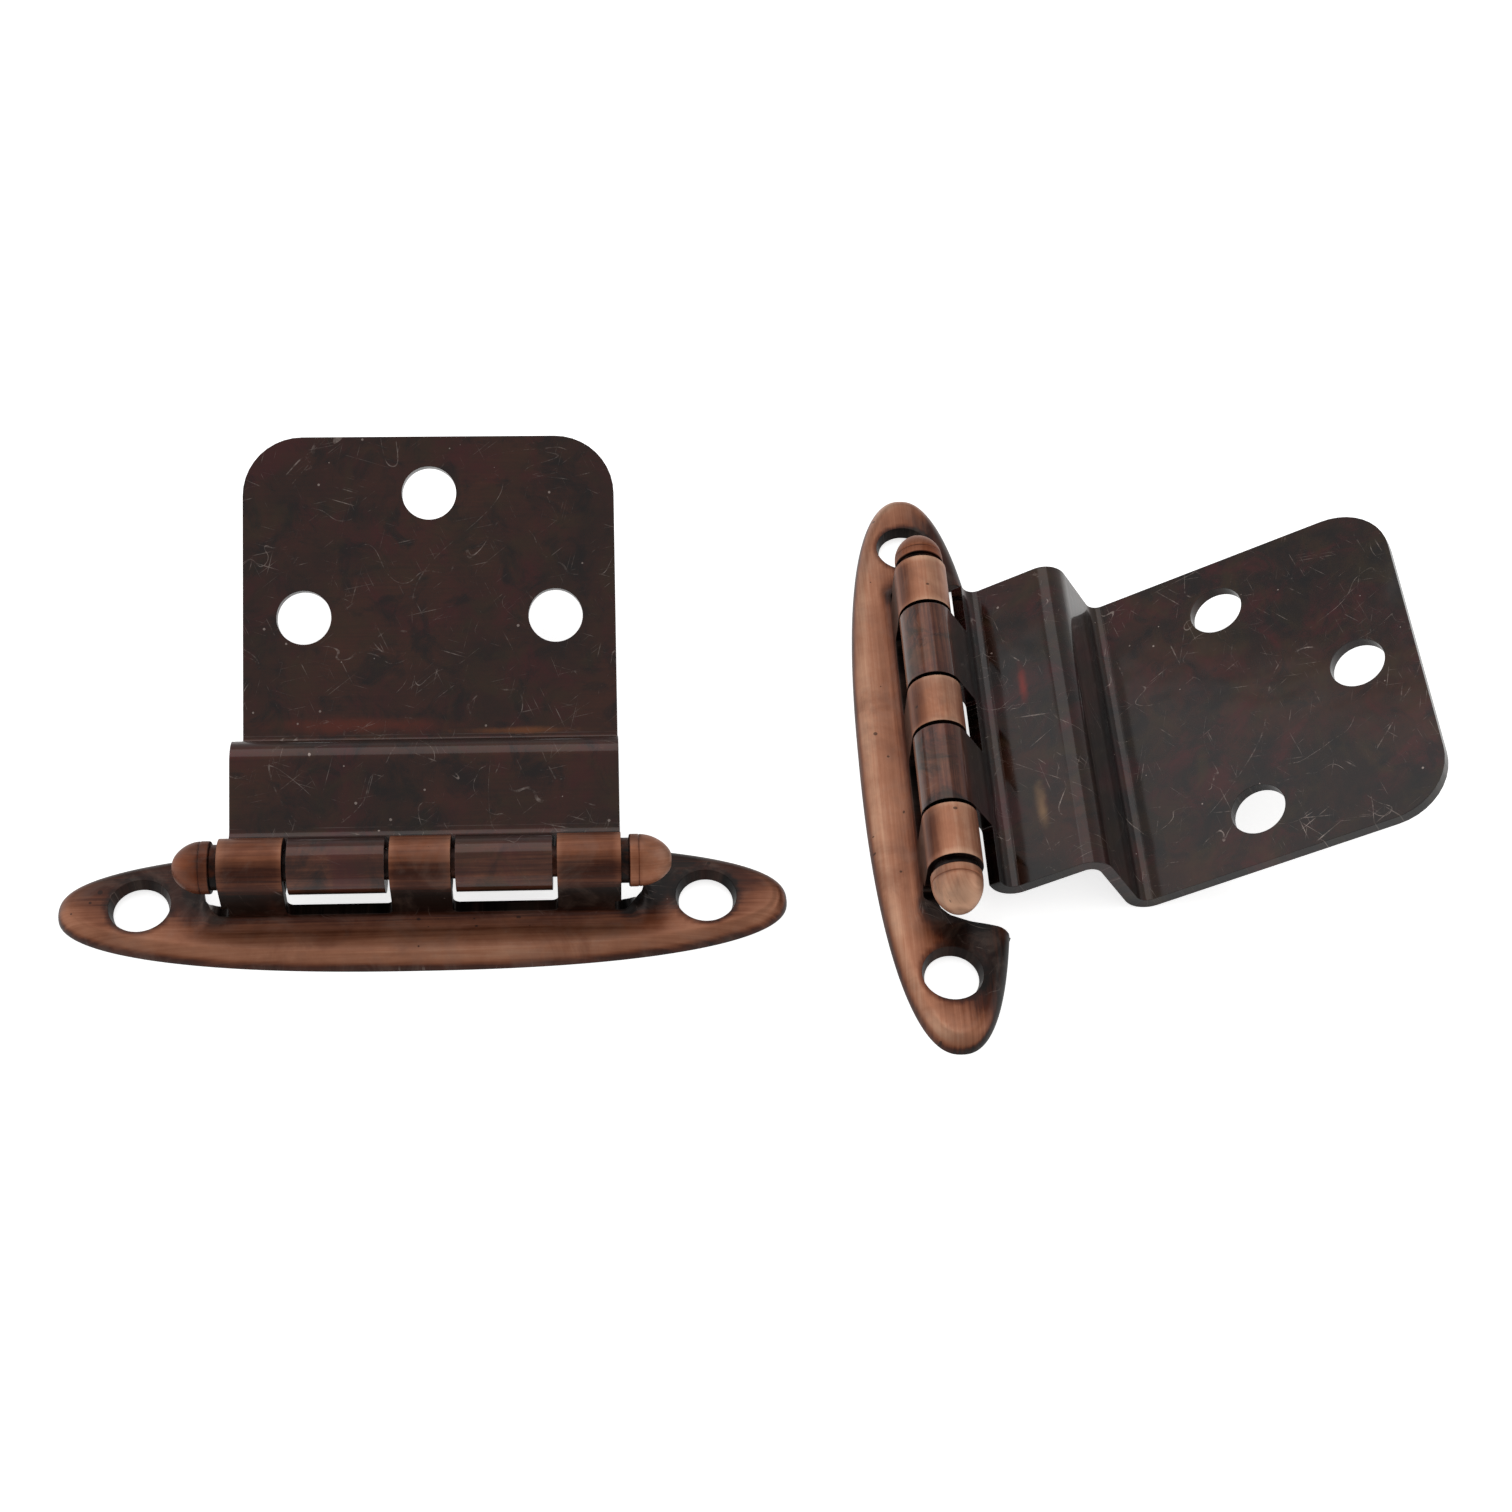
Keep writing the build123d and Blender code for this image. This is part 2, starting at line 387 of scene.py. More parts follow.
def highlightedBends(tree, flat, cloud, colour, finish):
    # painted highlights: pale lines across the sheet at the bends, broken up by the oxide patches
    along = addNode(tree, "ShaderNodeSeparateXYZ", {}, {"Vector": flat}).outputs[1]
    for place, amount in finish["bendHighlights"]:
        line = addNode(
            tree, "ShaderNodeMath", {"operation": "COMPARE"},
            {0: along, 1: place * mm, 2: patternSet["bendHighlightHalf"] * mm},
        )
        share = addNode(
            tree, "ShaderNodeMapRange", {},
            {"Value": cloud, "From Min": 0.4, "From Max": 0.6, "To Max": amount},
        )
        share = addNode(
            tree, "ShaderNodeMath", {"operation": "MULTIPLY"}, {0: line.outputs[0], 1: share.outputs[0]}
        )
        colour = addNode(
            tree, "ShaderNodeMix", {"data_type": "RGBA"},
            {0: share.outputs[0], 6: colour, 7: linear(patternSet["bendHighlightColour"])},
        ).outputs[2]
    return colour


def addRelief(tree, shader, flat, level):
    s = patternSet
    rounded = addNode(tree, "ShaderNodeBevel", {"samples": 4}, {"Radius": s["edgeRadius"] * mm})
    grain = addNode(
        tree, "ShaderNodeBump", {},
        {"Strength": 0.35, "Distance": s["grainDepth"] * mm, "Height": level, "Normal": rounded.outputs[0]},
    )
    tree.links.new(grain.outputs[0], shader.inputs["Normal"])
    # the lacquer's own face is a little wavy
    wave = addNode(
        tree, "ShaderNodeTexNoise", {}, {"Vector": flat, "Scale": s["lacquerWaves"] / mm, "Detail": 2}
    ).outputs[0]
    skin = addNode(
        tree, "ShaderNodeBump", {},
        {"Strength": 0.5, "Distance": s["waveDepth"] * mm, "Height": wave, "Normal": rounded.outputs[0]},
    )
    tree.links.new(skin.outputs[0], shader.inputs["Coat Normal"])


def antiqueCopper(name, finish):
    material = bpy.data.materials.new(name)
    material.use_nodes = True
    tree = material.node_tree
    shader = tree.nodes["Principled BSDF"]
    flat = addNode(tree, "ShaderNodeUVMap", {"uv_map": "blank"}, {}).outputs["UV"]
    tone = addNode(tree, "ShaderNodeAttribute", {"attribute_name": "tone"}, {}).outputs["Fac"]
    brush, cloud, level = wearAndLightLevel(tree, flat, tone, finish)
    colour = oxideTints(tree, flat, cloud, copperColour(tree, level), finish)
    colour = markedColour(tree, flat, tone, colour, finish)
    # pale lines along the bends are painted highlights
    colour = highlightedBends(tree, flat, cloud, colour, finish)
    tree.links.new(colour, shader.inputs["Base Color"])
    shader.inputs["Metallic"].default_value = 1.0
    middle, span = finish["roughness"], patternSet["roughnessSpan"]
    rough = addNode(
        tree, "ShaderNodeMapRange", {}, {"Value": brush, "To Min": middle - span, "To Max": middle + span}
    )
    tree.links.new(rough.outputs[0], shader.inputs["Roughness"])
    if finish["stretch"]:
        # brushing spreads a highlight across its lines
        shader.inputs["Anisotropic"].default_value = finish["stretch"]
        shader.inputs["Anisotropic Rotation"].default_value = 0.25
        tangent = addNode(tree, "ShaderNodeTangent", {"direction_type": "UV_MAP", "uv_map": "blank"}, {})
        tree.links.new(tangent.outputs[0], shader.inputs["Tangent"])
    shader.inputs["Coat Weight"].default_value = finish["lacquer"]
    shader.inputs["Coat Roughness"].default_value = finish["lacquerRoughness"]
    addRelief(tree, shader, flat, level)
    return material


# Flat blanks, punches and bends
punchSpan = (-1, 3)  # how far below and above the sheet a punch reaches
mergeDistance = 0.003  # corners that a cut leaves closer than this become one
sliverLength = 0.002


def isLevel(edge):
    return abs(edge.verts[0].co.z - edge.verts[1].co.z) < 1e-6


def prism(corners, rounding=0.0, roundCorners=()):
    # an outline drawn up through the sheet, with some of its corners rounded
    low, high = punchSpan
    bm = bmesh.new()
    ends = [bm.verts.new((x, y, low)) for x, y in corners]
    face = bm.faces.new(ends)
    upper = bmesh.ops.extrude_face_region(bm, geom=[face])["geom"]
    moved = [g for g in upper if isinstance(g, bmesh.types.BMVert)]
    bmesh.ops.translate(bm, vec=(0, 0, high - low), verts=moved)
    if rounding:
        picked = [
            e
            for e in bm.edges
            if not isLevel(e) and any((e.verts[0].co.xy - Vector(c)).length < 1e-4 for c in roundCorners)
        ]
        bmesh.ops.bevel(
            bm, geom=picked, offset=rounding, segments=10, profile=0.5, affect="EDGES", material=-1
        )
    bmesh.ops.recalc_face_normals(bm, faces=bm.faces)
    return bm


def divided(bm, longest):
    # more corners along the long sides, so that they can follow a bend
    sides = [e for e in bm.edges if isLevel(e) and e.calc_length() > longest]
    bmesh.ops.subdivide_edges(bm, edges=sides, cuts=16, use_grid_fill=True)
    return bm


def drill(x, y, radius):
    low, high = punchSpan
    bm = bmesh.new()
    bmesh.ops.create_cone(
        bm, cap_ends=True, segments=72, radius1=radius, radius2=radius, depth=high - low,
        matrix=Matrix.Translation((x, y, (low + high) / 2)),
    )
    return bm


def slab(columns, rows, thickness):
    # flat sheet, a unit square in x and y
    bm = bmesh.new()
    bmesh.ops.create_grid(bm, x_segments=columns, y_segments=rows, size=1)
    upper = bmesh.ops.extrude_face_region(bm, geom=bm.faces[:])["geom"]
    moved = [g for g in upper if isinstance(g, bmesh.types.BMVert)]
    bmesh.ops.translate(bm, vec=(0, 0, thickness), verts=moved)
    bmesh.ops.recalc_face_normals(bm, faces=bm.faces)
    return bm


def asObject(bm, name):
    mesh = bpy.data.meshes.new(name)
    bm.to_mesh(mesh)
    bm.free()
    obj = bpy.data.objects.new(name, mesh)
    bpy.context.scene.collection.objects.link(obj)
    return obj


def cut(bm, tools, operation="DIFFERENCE"):
    # booleans of a flat blank with its punches; the tools don't meet each other
    joined = bmesh.new()
    for tool in tools:
        mesh = bpy.data.meshes.new("punch")
        tool.to_mesh(mesh)
        joined.from_mesh(mesh)
        tool.free()
        bpy.data.meshes.remove(mesh)
    blank, punch = asObject(bm, "blank"), asObject(joined, "punch")
    modifier = blank.modifiers.new("cut", "BOOLEAN")
    modifier.operation = operation
    modifier.solver = "EXACT"
    modifier.object = punch
    result = bpy.data.meshes.new_from_object(blank.evaluated_get(bpy.context.evaluated_depsgraph_get()))
    done = bmesh.new()
    done.from_mesh(result)
    for obj in (blank, punch):
        bpy.data.objects.remove(obj)
    bpy.data.meshes.remove(result)
    bmesh.ops.remove_doubles(done, verts=done.verts, dist=mergeDistance)
    bmesh.ops.dissolve_degenerate(done, dist=sliverLength, edges=done.edges)
    return done


def markBlank(bm, toneAt, side):
    # the flat blank's own x and y become the pattern's coordinates, and the wear, with some painted light
    # and shade, is kept as a tone
    layer = bm.loops.layers.uv.new("blank")
    tone = bm.loops.layers.float.new("tone")
    shift, wearAndLight = hingeSet[side]["shift"], hingeSet[side]["wearAndLight"]
    edgeShare = 0.25  # the cut sides of the sheet are made darker
    for face in bm.faces:
        face.normal_update()
        share = edgeShare if abs(face.normal.z) < 0.5 else 1
        for loop in face.loops:
            x, y = loop.vert.co.xy
            loop[layer].uv = (x * mm + shift, y * mm)
            loop[tone] = toneAt(x, y, wearAndLight) * share


def follow(v, offset, start, heading, pieces):
    # Point of a bent sheet: v along its middle, offset towards its left. The pieces are
    # (length, turn in degrees, left positive), where a bend's length is that of its arc.
    y, z = start
    angle = radians(heading)
    left = v
    for length, turn in pieces:
        here = min(left, length) if (length, turn) != pieces[-1] else left
        if turn:
            radius = length / radians(abs(turn))
            side = copysign(1, turn)
            swept = here / radius * side
            y += radius * side * (sin(angle + swept) - sin(angle))
            z += radius * side * (cos(angle) - cos(angle + swept))
            angle += swept
        else:
            y += here * cos(angle)
            z += here * sin(angle)
        left -= here
        if left <= 0:
            break
    return y - offset * sin(angle), z + offset * cos(angle)


def finishPiece(bm, name, place, body, material):
    sharpAngle = 38
    bm.transform(place)
    bmesh.ops.recalc_face_normals(bm, faces=bm.faces)
    for face in bm.faces:
        face.smooth = True
    for edge in bm.edges:
        edge.smooth = len(edge.link_faces) == 2 and degrees(edge.calc_face_angle(0)) < sharpAngle
    obj = asObject(bm, name + "_finished")
    obj.data.materials.append(material)
    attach(obj, body)
    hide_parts(name)


# Door leaf: flat plate, valley, step, ridge, first flat, wall and rolled knuckles
doorLeafSet = {
    "farEdge": 44.45,
    "plateMiddle": -8.925,
    "plateCorner": 6.0,
    "holeRadius": 2.75,
    "holes": [(0, 5.85), (-12.7, 18.55), (12.7, 18.55)],  # x, and how far in from the far edge
    "lengths": {"plate": 30.55, "step": 5.925, "flat": 6.4, "wall": 4.8},
    # how far past the last bend the openings for the frame leaf's knuckles start
    "slotRise": 0.5,
    "slotRound": 0.4,
    "plateWear": 0.31,
    "plateRipple": (0.03, 0.21, 0.13),  # height, and turn per mm across and along
    "wearAndLightShare": 0.5,  # how much of a hinge's own wear and painted light counts
    # wear up the knuckle, from where it starts to curl; its darker lower side is partly painted shade
    "knuckleWearAndShade": [(-1.5, 0.3), (1.0, 0.34), (3.0, 0.42), (5.0, 0.44), (7.0, 0.36), (9.0, 0.3)],
    "rows": 224,
    "columns": 24,
}


def doorLeafPath():
    bend = hingeSet["bendMiddle"] * pi / 2
    long = doorLeafSet["lengths"]
    curl = hingeSet["knuckleMiddle"] * radians(hingeSet["curlTurn"])
    return [
        (long["plate"], 0),
        (bend, -90),
        (long["step"], 0),
        (bend, 90),
        (long["flat"], 0),
        (bend, -90),
        (long["wall"], 0),
        (curl, hingeSet["curlTurn"]),
    ]


def doorLeafTone(x, v, wearAndLight):
    s = doorLeafSet
    # a hinge's own share darkens its plate and lightens its knuckles, partly wear and partly painted light
    # and shade
    share = wearAndLight * s["wearAndLightShare"]
    knuckle = v - sum(length for length, turn in doorLeafPath()[:-1])
    # the knuckle's darker lower side is partly painted shade
    rolled = between(knuckle, s["knuckleWearAndShade"]) + share
    height, across, along = s["plateRipple"]
    plate = s["plateWear"] - share + height * sin(x * across + v * along)
    return plate + (rolled - plate) * smoothStep(-2.0, 0.0, knuckle)


def doorLeaf(side):
    path = doorLeafPath()
    total = sum(length for length, turn in path)
    half = hingeSet["halfWidth"]
    bm = slab(doorLeafSet["columns"], doorLeafSet["rows"], hingeSet["sheet"])
    bm.transform(Matrix.Translation((0, total / 2, 0)) @ Matrix.Diagonal((half, total / 2, 1, 1)))
    outline = [(-half, 0), (half, 0), (half, total + 1), (-half, total + 1)]
    bm = cut(bm, [prism(outline, doorLeafSet["plateCorner"], outline[:2])], "INTERSECT")
    punches = [drill(x, v, doorLeafSet["holeRadius"]) for x, v in doorLeafSet["holes"]]
    foot = sum(length for length, turn in path[:-2]) + doorLeafSet["slotRise"]
    for start, end in hingeSet["framePlaces"]:
        low, high = start - hingeSet["knuckleGap"], end + hingeSet["knuckleGap"]
        corners = [(low, foot), (high, foot), (high, total + 1), (low, total + 1)]
        inner = [c for c in corners[:2] if abs(c[0]) < half]
        punches.append(prism(corners, doorLeafSet["slotRound"], inner))
    bm = cut(bm, punches)
    markBlank(bm, doorLeafTone, side)
    start = (doorLeafSet["farEdge"], doorLeafSet["plateMiddle"])
    for vert in bm.verts:
        # the sheet runs towards -Y here, so its upper side is on the right
        offset = hingeSet["sheet"] / 2 - vert.co.z
        vert.co.yz = follow(vert.co.y, offset, start, 180, path)
    return bm


# Frame leaf: long oval with a turned-down rim, a wall bent up from it and rolled knuckles
frameLeafSet = {
    "length": 69.85,
    "width": 14.2,
    "fullness": 2.33,  # power of the oval, where 2 is an ellipse
    "shift": -0.25,
    "crown": 1.8,
    "droop": 0.25,  # how far the crown falls towards the rim
    "droopWidth": 3.2,
    "rimRound": 1.5,
    "screwSpacing": 54.0,
    "holeRadius": 2.95,
    "holeShift": -0.5,
    "bendStart": -3.9,
    "wall": 4.2,
    "fadeStart": 18.8,
    "fadeEnd": 21.3,  # where the bend has died out into the end pads
    "padStart": 22.6,
    "rimAgain": 21.5,  # from here outwards the upper edge is a rim too
    "notch": [(18.8, 15), (18.8, 0.2), (18.2, 0.2), (18.2, -1.45), (20.7, -0.6), (22.3, 6.8), (22.3, 15)],
    "notchRound": 0.7,
    "notchMiddle": (20.2, 1.0),
    "slotFoot": -1.1,
    "slotTop": 16,  # past the blank's end
    "slotRound": 0.6,
    "holeFoot": 2.62,  # radius of a screw hole at the back of the sheet
    "dishWall": (0.9, 1.5),  # how far inside the edge the turned-down rim gives way to the dish
    # wear along the blank, from the rim over the bend and up the knuckle; on the knuckle, the stops darker
    # than its top are partly painted shade
    "middleWearAndShade": [
        (-7.4, 0.76),
        (-5.0, 0.72),
        (-4.0, 0.66),
        (-3.0, 0.54),
        (-2.0, 0.42),
        (-1.0, 0.22),
        (0.0, 0.08),
        (2.0, 0.1),
        (3.0, 0.36),
        (3.6, 0.44),
        (4.2, 0.36),
        (4.9, 0.4),
        (5.5, 0.57),
        (7.5, 0.62),
        (9.0, 0.5),
        (11.0, 0.3),
    ],
    # and across the end pads
    "padWear": [(-6.5, 0.74), (-3.5, 0.68), (-1.5, 0.56), (0.5, 0.41), (2.5, 0.26), (5.0, 0.13)],
    "wearAndLightShare": [(-4.0, 0.5), (0.0, 0.8), (3.0, 1.4)],  # how much of a hinge's own wear and painted light counts
    # amount, and where it starts and ends in mm
    "tipRub": (0.16, 29.5, 34.0),
    # painted shade on the leaf beside the notch, under the finial and the knuckle's end
    "notchShade": (0.3, 1.8, 5.0),
    "rimRub": (0.06, 0.3, 0.7),
    # darker on the outermost half millimetre of the rim
    "rimDarkening": (0.4, 0.0, 0.45),
    "holeSoot": (0.25, 0.1, 0.6),
    "knuckleEndRub": (0.12, 0.15, 0.7),
    "knuckleStart": 3,
    "padBlend": (19.0, 25.0),  # where the middle's wear gives way to the pads'
    "besideNotch": ((-4.2, -2.0), (18.0, 19.5)),  # where the painted shade beside the notch fades in, along y and x
    "rimRubEnd": (1.2, 2.2),
    "leastTone": 0.02,
    # where the grid's corners lie on the oval in degrees, how strongly it closes up towards the
    # rim, and how its crowded corners are evened out
    "cornerTurn": 16,
    "crowding": 0.85,
    "evenReach": 3.0,
    "evenTurns": 40,
    "columns": 150,
    "padColumns": 36,
    "rows": 110,
}


def ovalEdge(x):
    # half width of the oval at x
    s = frameLeafSet
    return s["width"] / 2 * (1 - min(abs(x) * 2 / s["length"], 1) ** s["fullness"]) ** (1 / s["fullness"])


def ovalPoint(turn):
    s = frameLeafSet
    power = 2 / s["fullness"]
    x = s["length"] / 2 * abs(cos(turn)) ** power
    return Vector((x, copysign(s["width"] / 2 * abs(sin(turn)) ** power, sin(turn))))


def rimDistance(x, y):
    # how far inside the oval's edge a point is, near enough
    s = frameLeafSet
    farInside = 6.0
    if abs(x) < s["rimAgain"] and y > 0:
        return farInside
    n = s["fullness"]
    u, w = abs(x) * 2 / s["length"], abs(y) * 2 / s["width"]
    level = (u**n + w**n) ** (1 / n)
    if level < 0.05:
        return farInside
    slope = level ** (1 - n) * hypot(u ** (n - 1) * 2 / s["length"], w ** (n - 1) * 2 / s["width"])
    return min(max((1 - level) / slope, 0.0), farInside)


def evenedRows(q):
    # rows close up towards both ends, where the rim is rounded
    crowding = frameLeafSet["crowding"]
    return (1 - crowding) * q + crowding * (0.5 - 0.5 * cos(pi * q))


def frameLeafLength():
    s = frameLeafSet
    curl = hingeSet["knuckleMiddle"] * radians(hingeSet["curlTurn"])
    return s["bendStart"] + hingeSet["bendMiddle"] * pi / 2 + s["wall"] + curl


def layOutBlank(u, q):
    # From the grid's square to the flat blank: straight columns in the middle, rounded ends
    s = frameLeafSet
    middle = 1 - 2 * s["padColumns"] / s["columns"]
    row = evenedRows(q)
    start = s["padStart"]
    if abs(u) <= middle:
        x = u / middle * start
        low, high = -ovalEdge(x), ovalEdge(x)
        top = frameLeafLength() - s["shift"]
        high += (top - high) * (1 - smoothStep(hingeSet["halfWidth"], s["notch"][-1][0], abs(x)))
        return x, low + (high - low) * row
    p = (abs(u) - middle) / (1 - middle)
    p = (1 - s["crowding"]) * p + s["crowding"] * sin(p * pi / 2)
    startTurn = acos((start * 2 / s["length"]) ** (s["fullness"] / 2))
    corner = radians(s["cornerTurn"])
    turn = startTurn + (corner - startTurn) * p
    bottom, top = ovalPoint(-turn), ovalPoint(turn)
    left = Vector((start, -ovalEdge(start) + 2 * ovalEdge(start) * row))
    tip = ovalPoint(-corner + 2 * corner * row)
    corners = (
        (1 - p) * (1 - row) * ovalPoint(-startTurn)
        + (1 - p) * row * ovalPoint(startTurn)
        + p * (1 - row) * ovalPoint(-corner)
        + p * row * ovalPoint(corner)
    )
    point = (1 - p) * left + p * tip + (1 - row) * bottom + row * top - corners
    return copysign(point.x, u), point.y


def evenCorners(bm):
    # the grid's four corners lie on the smooth rim, and the cells near them are evened out
    s = frameLeafSet
    corner = ovalPoint(radians(s["cornerTurn"]))
    crowded = []
    for vert in bm.verts:
        away = Vector((abs(vert.co.x), abs(vert.co.y - s["shift"]))) - corner
        outer = any(not isLevel(e) for e in vert.link_edges)
        if away.length < s["evenReach"] and not outer:
            crowded.append(vert)
    for turn in range(s["evenTurns"]):
        bmesh.ops.smooth_vert(bm, verts=crowded, factor=0.5, use_axis_x=True, use_axis_y=True)


def frameLeafTone(x, v, wearAndLight):
    s = frameLeafSet
    y = v - s["shift"]
    # on the knuckle, the stops darker than its top are partly painted shade
    middle, pad = between(v, s["middleWearAndShade"]), between(y, s["padWear"])
    amount, start, end = s["tipRub"]
    pad += amount * smoothStep(start, end, abs(x))
    tone = middle + (pad - middle) * smoothStep(*s["padBlend"], abs(x))
    # painted shade beside the notch, under the finial and the knuckle's end
    amount, start, end = s["notchShade"]
    notch = hypot(abs(x) - s["notchMiddle"][0], y - s["notchMiddle"][1])
    up, out = s["besideNotch"]
    beside = smoothStep(*up, y) * smoothStep(*out, abs(x))
    tone -= amount * beside * (1 - smoothStep(start, end, notch))
    distance = rimDistance(x, y)
    amount, start, end = s["rimRub"]
    tone += amount * smoothStep(start, end, distance) * (1 - smoothStep(*s["rimRubEnd"], distance))
    # darker right at the rim's edge
    amount, start, end = s["rimDarkening"]
    tone -= amount * (1 - smoothStep(start, end, distance))
    amount, start, end = s["holeSoot"]
    hole = hypot(abs(x) - s["screwSpacing"] / 2, v - s["holeShift"]) - s["holeRadius"]
    tone -= amount * (1 - smoothStep(start, end, hole))
    if v > s["knuckleStart"]:
        amount, start, end = s["knuckleEndRub"]
        ends = min(abs(x - edge) for span in hingeSet["framePlaces"] for edge in span)
        tone += amount * (1 - smoothStep(start, end, ends))
    # a hinge's own share lightens its worn copper, partly wear and partly painted light
    share = between(v, s["wearAndLightShare"])
    return max(tone + wearAndLight * share * smoothStep(0.2, 0.5, tone), s["leastTone"])


def frameLeaf(side):
    s = frameLeafSet
    bm = slab(s["columns"], s["rows"], hingeSet["sheet"])
    for vert in bm.verts:
        x, y = layOutBlank(vert.co.x, (vert.co.y + 1) / 2)
        vert.co.xy = x, y + s["shift"]
    evenCorners(bm)
    punches = []
    for end in (-1, 1):
        punches.append(drill(end * s["screwSpacing"] / 2, s["holeShift"], s["holeRadius"]))
        corners = [(end * x, y) for x, y in s["notch"]]
        punches.append(divided(prism(corners, s["notchRound"], corners[3:5]), 1.0))
    foot, top = s["slotFoot"], s["slotTop"]
    knuckles = hingeSet["framePlaces"]
    for here, beyond in zip(knuckles, knuckles[1:]):
        low, high = here[1], beyond[0]
        corners = [(low, foot), (high, foot), (high, top), (low, top)]
        punches.append(prism(corners, s["slotRound"], corners[:2]))
    bm = cut(bm, punches)
    markBlank(bm, frameLeafTone, side)
    for vert in bm.verts:
        x, v, offset = pressedPoint(*vert.co)
        path = frameLeafPath(x)
        start = (s["bendStart"] - s["width"], s["crown"] - hingeSet["sheet"] / 2)
        vert.co = x, *follow(v - start[0], offset, start, 0, path)
    return bm


def pressedPoint(x, v, level):
    # The press rounds the rim and lets the crown droop towards it. Behind, the leaf is an open
    # dish, and the screw holes are narrower there.
    s = frameLeafSet
    sheet = hingeSet["sheet"]
    distance = rimDistance(x, v - s["shift"])
    if level > sheet / 2:
        rim = s["rimRound"]
        near = min(distance, rim)
        change = (rim**2 - (rim - near) ** 2) ** 0.5 - rim
        change -= s["droop"] * (1 - min(distance / s["droopWidth"], 1)) ** 2
        return x, v, sheet / 2 + change
    centre = Vector((copysign(s["screwSpacing"] / 2, x), s["holeShift"]))
    reach = Vector((x, v)) - centre
    if reach.length < s["holeRadius"] + 0.02:
        x, v = centre + reach.normalized() * s["holeFoot"]
    return x, v, -sheet / 2 - (s["crown"] - sheet) * (1 - smoothStep(*s["dishWall"], distance))


def frameLeafPath(x):
    # bend, wall and knuckle in the middle; the bend dies out towards the end pads
    s = frameLeafSet
    fade = 1 - smoothStep(s["fadeStart"], s["fadeEnd"], abs(x))
    turn = max(90 * fade, 0.01)
    curl = hingeSet["knuckleMiddle"] * radians(hingeSet["curlTurn"])
    path = [(s["width"], 0), (hingeSet["bendMiddle"] * radians(turn), turn), (s["wall"], 0)]
    if turn > 89:
        path.append((curl, -hingeSet["curlTurn"]))
    return path


# Pin and tip: rod with a turned finial, and the second finial pressed over the rod's end
finialSet = {
    "neckRadius": 2.15,
    "neck": 0.75,
    "collarRadius": 2.5,
    "collar": 0.95,
    "collarRound": 0.15,
    "neckRound": 0.05,
    "grooveRound": 0.08,
    "grooveDepth": 0.02,  # of the line turned between collar and dome
    "pointRadius": 0.6,
    "domeSteps": 14,
    "headDome": 2.7,
    "tipDome": 3.1,
    "rodRadius": 1.45,
    "rodChamfer": 0.3,
    "socketDepth": 2.6,
    "socketGap": 0.02,
    "headWear": 0.5,
    "tipWear": 0.72,
    # the neck is painted near black: painted shade in the gap between the knuckle's end and the collar
    "neckShadeTone": 0.06,
    # amount, and where it starts and ends in mm
    "domeRub": (0.15, 2.0, 4.5),
    "grooveSoot": (0.25, 0.0, 0.12),
    "steps": 72,
}


def finialOutline(dome):
    # (distance from the barrel's end, radius)
    s = finialSet
    neck, r, end = s["neckRadius"], s["collarRadius"], s["neck"] + s["collar"]
    small, soft, groove = s["neckRound"], s["collarRound"], s["grooveRound"]
    outline = [(0, neck), (s["neck"] - small, neck), (s["neck"], neck + small)]
    outline += [(s["neck"], r - soft), (s["neck"] + soft * 0.3, r - soft * 0.3), (s["neck"] + soft, r)]
    outline += [(end - groove, r), (end, r - s["grooveDepth"] - 0.05), (end + groove, r - s["grooveDepth"])]
    # the dome, blunter than a half round
    curve = interpolate_bezier(
        Vector((end + groove, r - s["grooveDepth"])),
        Vector((end + dome * 0.5, r - 0.05)),
        Vector((end + dome * 0.93, r * 0.55)),
        Vector((end + dome - 0.04, s["pointRadius"])),
        s["domeSteps"],
    )
    outline += [tuple(point) for point in curve[1:]]
    outline += [(end + dome - 0.01, s["pointRadius"] * 0.55), (end + dome, 0)]
    return outline


def turned(outline):
    # a profile of (x, radius) spun about X
    bm = bmesh.new()
    verts = [bm.verts.new((x, 0, radius)) for x, radius in outline]
    edges = [bm.edges.new(pair) for pair in zip(verts, verts[1:])]
    bmesh.ops.spin(
        bm, geom=verts + edges, axis=(1, 0, 0), cent=(0, 0, 0), angle=2 * pi, steps=finialSet["steps"],
        use_merge=True,
    )
    bmesh.ops.remove_doubles(bm, verts=bm.verts, dist=0.0005)
    bmesh.ops.recalc_face_normals(bm, faces=bm.faces)
    return bm


def markTurned(bm, side, wearAndLight):
    layer = bm.loops.layers.uv.new("blank")
    tone = bm.loops.layers.float.new("tone")
    # the hinge's own share, partly wear and partly painted light, is added to the finial's tone
    for face in bm.faces:
        for loop in face.loops:
            co = loop.vert.co
            loop[layer].uv = (co.x * mm + hingeSet[side]["shift"], (co.y + co.z) * mm)
            loop[tone] = finialTone(co.x, wearAndLight + hingeSet[side]["wearAndLight"])


def finialTone(x, wearAndLight):
    s = finialSet
    base = abs(x) - hingeSet["halfWidth"]
    # the neck gets painted shade
    if base < s["neck"] + s["neckRound"]:
        return s["neckShadeTone"]
    amount, start, end = s["domeRub"]
    tone = wearAndLight + amount * smoothStep(start, end, base)
    amount, start, end = s["grooveSoot"]
    groove = s["neck"] + s["collar"]
    return tone - amount * (1 - smoothStep(start, end, abs(base - groove)))


def pinWithHead(side):
    s = finialSet
    half = hingeSet["halfWidth"]
    outline = [(-half - x, r) for x, r in reversed(finialOutline(s["headDome"]))]
    end, rod, chamfer = half + s["socketDepth"], s["rodRadius"], s["rodChamfer"]
    outline += [(-half, rod), (end - chamfer, rod), (end, rod - chamfer), (end, 0)]
    bm = turned(outline)
    markTurned(bm, side, s["headWear"])
    return bm


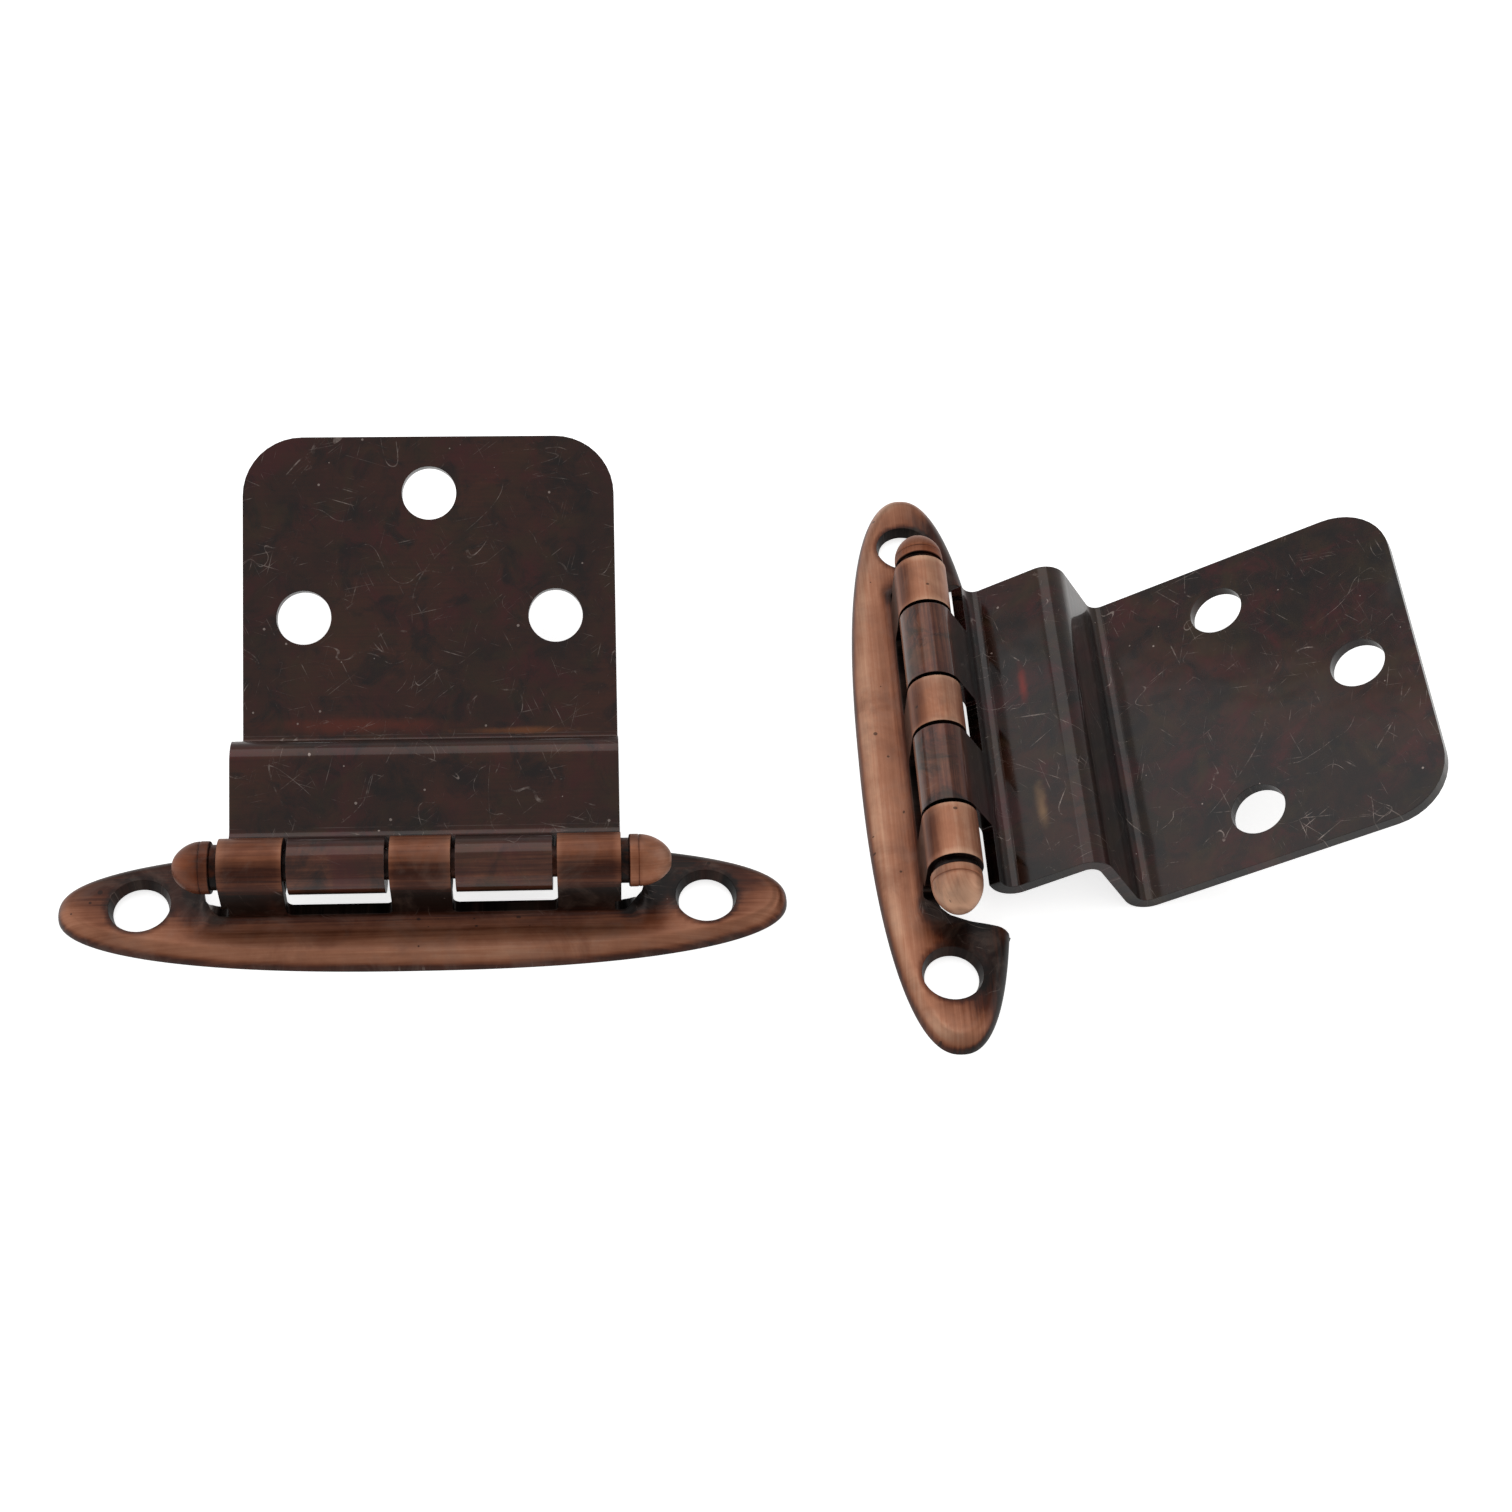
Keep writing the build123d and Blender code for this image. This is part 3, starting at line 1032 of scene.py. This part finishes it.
def pinTip(side):
    s = finialSet
    half = hingeSet["halfWidth"]
    socket = s["rodRadius"] + s["socketGap"]
    depth = s["socketDepth"] + s["socketGap"]
    outline = [(half + depth, 0), (half + depth, socket), (half, socket)]
    outline += [(half + x, r) for x, r in finialOutline(s["tipDome"])]
    bm = turned(outline)
    markTurned(bm, side, s["tipWear"])
    return bm


frameLeafCopper = antiqueCopper("brushedAntiqueCopper", frameLeafFinish)
doorLeafCopper = antiqueCopper("darkAntiqueCopper", doorLeafFinish)
finialCopper = antiqueCopper("turnedAntiqueCopper", finialFinish)
raised = Matrix.Translation((0, 0, hingeSet["axisHeight"]))
for side in ("left", "right"):
    place = placeOf(side)
    doorPlace = place @ openedLeaf()
    pinPlace = place @ raised
    doorSide = f"{side}_door_side"
    finishPiece(doorLeaf(side), f"{side}_door_leaf", doorPlace, doorSide, doorLeafCopper)
    print(side, "door leaf finished")
    finishPiece(
        frameLeaf(side), f"{side}_frame_leaf", place, "frame_side", frameLeafCopper
    )
    print(side, "frame leaf finished")
    finishPiece(pinWithHead(side), f"{side}_pin", pinPlace, "frame_side", finialCopper)
    finishPiece(pinTip(side), f"{side}_pin_tip", pinPlace, "frame_side", finialCopper)
    print(side, "pin and tip finished")

# Matt paper floor. Its glow shows it white to the camera and in the metal, and it keeps the shadow.
floorSet = {"size": 1.2, "colour": "#f4f3f1", "glow": 0.75, "metalShare": 0.25}


def addFloor():
    bm = bmesh.new()
    bmesh.ops.create_grid(bm, x_segments=1, y_segments=1, size=floorSet["size"] / 2)
    floor = asObject(bm, "floor")
    material = bpy.data.materials.new("mattPaper")
    material.use_nodes = True
    shader = material.node_tree.nodes["Principled BSDF"]
    shader.inputs["Base Color"].default_value = linear(floorSet["colour"])
    shader.inputs["Roughness"].default_value = 0.9
    shader.inputs["Emission Color"].default_value = (1, 1, 1, 1)
    tree = material.node_tree
    path = addNode(tree, "ShaderNodeLightPath", {}, {})
    seen = addNode(
        tree, "ShaderNodeMath", {"operation": "MULTIPLY_ADD"},
        {0: path.outputs["Is Glossy Ray"], 1: floorSet["metalShare"], 2: path.outputs["Is Camera Ray"]},
    )
    glow = addNode(
        tree, "ShaderNodeMath", {"operation": "MULTIPLY"}, {0: seen.outputs[0], 1: floorSet["glow"]}
    )
    tree.links.new(glow.outputs[0], shader.inputs["Emission Strength"])
    floor.data.materials.append(material)


# Found by laying both hinges over the photograph, in mm and degrees
cameraSet = {"place": (-14.38, -151.29, 200.18), "aim": (1.133, -4.934, 7.2), "roll": 3.943, "lens": 58.90}


def addCamera():
    values = cameraSet
    cam = bpy.data.cameras.new("photoCamera")
    cam.lens = values["lens"]
    cam.sensor_width = 36.0
    cam.clip_start = 0.01
    obj = bpy.data.objects.new("photoCamera", cam)
    bpy.context.scene.collection.objects.link(obj)
    place = Vector(values["place"]) * mm
    look = (Vector(values["aim"]) * mm - place).to_track_quat("-Z", "Y").to_matrix().to_4x4()
    obj.matrix_world = Matrix.Translation(place) @ look @ Matrix.Rotation(radians(values["roll"]), 4, "Z")
    bpy.context.scene.camera = obj


# Large weak boxes, which all face the middle of the pair: mm and watts
lightSet = [
    {"name": "leftBox", "place": (-620, 160, 330), "size": 800, "power": 1.05},
    {"name": "topBox", "place": (-60, 330, 620), "size": 500, "power": 0.65},
    {"name": "rightBox", "place": (620, 100, 250), "size": 500, "power": 0.65},
]


def addLights():
    for values in lightSet:
        data = bpy.data.lights.new(values["name"], "AREA")
        data.size = values["size"] * mm
        data.energy = values["power"]
        obj = bpy.data.objects.new(values["name"], data)
        bpy.context.scene.collection.objects.link(obj)
        place = Vector(values["place"]) * mm
        turn = (-place).to_track_quat("-Z", "Y").to_matrix().to_4x4()
        obj.matrix_world = Matrix.Translation(place) @ turn


worldSet = {"surround": "#b7b8b9", "backdrop": "#ffffff"}


def addWorld():
    # an even grey surround, white where the camera looks past the floor
    world = bpy.data.worlds.new("studio")
    bpy.context.scene.world = world
    world.use_nodes = True
    tree = world.node_tree
    path = addNode(tree, "ShaderNodeLightPath", {}, {})
    shade = addNode(
        tree, "ShaderNodeMix", {"data_type": "RGBA"},
        {0: path.outputs["Is Camera Ray"], 6: linear(worldSet["surround"]), 7: linear(worldSet["backdrop"])},
    )
    tree.links.new(shade.outputs[2], tree.nodes["Background"].inputs["Color"])


addFloor()
addCamera()
addLights()
addWorld()
bpy.context.scene.view_settings.view_transform = "Standard"
print("studio set")
